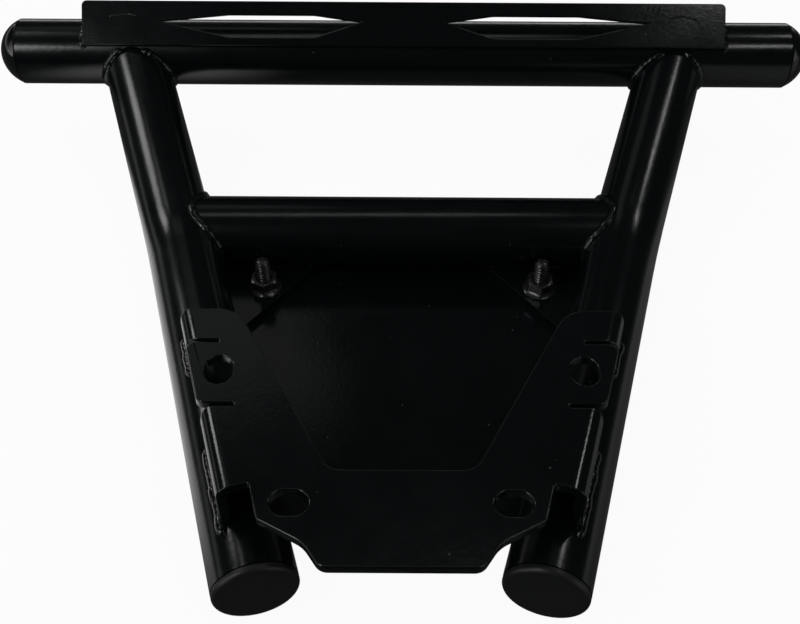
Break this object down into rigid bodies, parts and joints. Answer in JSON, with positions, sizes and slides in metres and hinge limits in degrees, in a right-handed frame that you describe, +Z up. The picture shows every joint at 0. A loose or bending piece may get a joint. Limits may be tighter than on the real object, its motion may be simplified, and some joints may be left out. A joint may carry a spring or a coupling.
{
  "type": "atv front bumper",
  "caption": "Welded steel tube front bumper for an ATV, with a slotted mounting bracket, a slotted strip plate, domed end caps and a bolted skid plate.",
  "frame": {"origin": "middle of the underside: the centre of the bounding box in X and Y, at the skid plate's lower face", "axes": "+X across the bumper along the top cross tube, +Y from the mounting bracket towards the top cross tube, +Z up from the skid plate"},
  "size_m": [0.483, 0.3698, 0.0939],
  "materials": {
    "tube_coat": "satin black powder coat on steel tube",
    "plate_coat": "satin black powder coat on steel plate",
    "weld_coat": "black powder coat over rippled weld beads",
    "disc_coat": "matte black powder coat",
    "cap_gloss": "glossy black moulded plastic",
    "fastener_steel": "black-plated steel"
  },
  "bodies": {
    "root": {"top_cross_tube": "tube_coat", "left_dome_cap": "cap_gloss", "right_dome_cap": "cap_gloss", "strip_plate": "plate_coat", "strip_welds": "weld_coat", "left_leg_tube": "tube_coat", "right_leg_tube": "tube_coat", "left_end_disc": "disc_coat", "right_end_disc": "disc_coat", "lower_cross_tube": "tube_coat", "left_top_weld": "weld_coat", "right_top_weld": "weld_coat", "left_cross_weld": "weld_coat", "right_cross_weld": "weld_coat", "mounting_bracket": "plate_coat", "left_bracket_welds": "weld_coat", "right_bracket_welds": "weld_coat", "left_gusset": "plate_coat", "right_gusset": "plate_coat", "gusset_welds": "weld_coat", "skid_plate": "plate_coat", "skid_bolts": "fastener_steel", "skid_nuts": "fastener_steel"}
  },
  "joints": []
}
